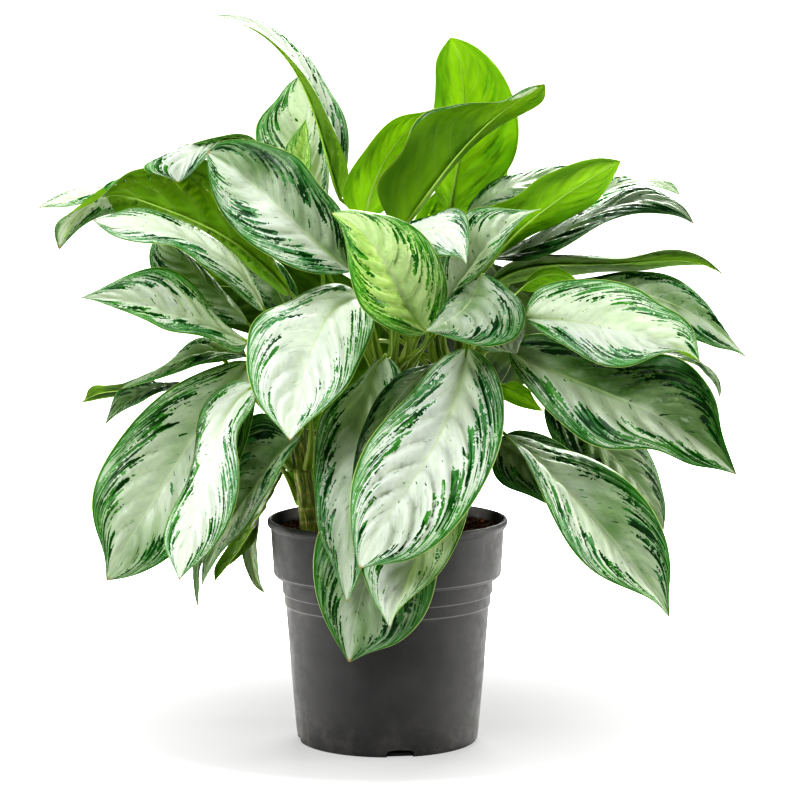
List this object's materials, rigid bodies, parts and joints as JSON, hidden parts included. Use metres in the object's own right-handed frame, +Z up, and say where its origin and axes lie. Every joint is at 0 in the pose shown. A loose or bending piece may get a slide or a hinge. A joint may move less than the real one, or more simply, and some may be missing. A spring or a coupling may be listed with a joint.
{
  "type": "potted chinese evergreen",
  "caption": "Bushy foliage house plant with broad silver-green variegated leaves on short stems, standing in a round tapered black nursery pot filled with potting mix.",
  "frame": {"origin": "centre of the pot's flat base, on the surface it stands on", "axes": "+Z up the pot's axis, the best side of the plant faces -Y, +X to its right seen from there"},
  "size_m": [0.6159, 0.42, 0.6315],
  "materials": {
    "pot_plastic": "matte moulded black polypropylene with fine scuffs",
    "potting_mix": "damp crumbly dark brown coir potting mix",
    "stem": "satin olive green stem with paler sheaths",
    "leaf": "satin leathery leaf, silver centre with dark green blotches along the margins, plain green underneath",
    "young_leaf": "satin young leaf, yellow-green with dark green blotches"
  },
  "bodies": {
    "root": {"pot": "pot_plastic", "soil": "potting_mix", "stem_a": "stem", "stem_b": "stem", "stem_c": "stem", "stem_d": "stem", "stem_e": "stem", "leaf_01": "leaf", "leaf_02": "leaf", "leaf_03": "leaf", "leaf_04": "leaf", "leaf_05": "leaf", "leaf_06_young": "young_leaf", "leaf_07": "leaf", "leaf_08": "leaf", "leaf_09": "leaf", "leaf_10": "leaf", "leaf_11": "leaf", "leaf_12": "leaf", "leaf_13": "leaf", "leaf_14": "leaf", "leaf_15": "leaf", "leaf_16": "leaf", "leaf_17": "leaf", "leaf_18": "leaf", "leaf_19": "leaf", "leaf_20": "leaf", "leaf_21": "leaf", "leaf_22": "leaf", "leaf_23": "leaf", "leaf_24": "leaf", "leaf_25": "leaf", "leaf_26": "leaf", "leaf_27": "leaf", "leaf_28": "leaf", "leaf_29": "leaf", "leaf_30": "leaf", "leaf_31_young_spear": "young_leaf", "leaf_32": "leaf", "leaf_33": "leaf", "leaf_34": "leaf", "leaf_35": "leaf", "leaf_36": "leaf", "leaf_37": "leaf", "leaf_38": "leaf", "leaf_39": "leaf", "leaf_40": "leaf", "leaf_41": "leaf", "leaf_42": "leaf", "leaf_43": "leaf", "leaf_44": "leaf", "leaf_45": "leaf", "leaf_46": "leaf", "leaf_47": "leaf", "leaf_48": "leaf", "leaf_49": "leaf", "leaf_50": "leaf", "leaf_51": "leaf", "leaf_52": "leaf", "leaf_53": "leaf"}
  },
  "joints": []
}
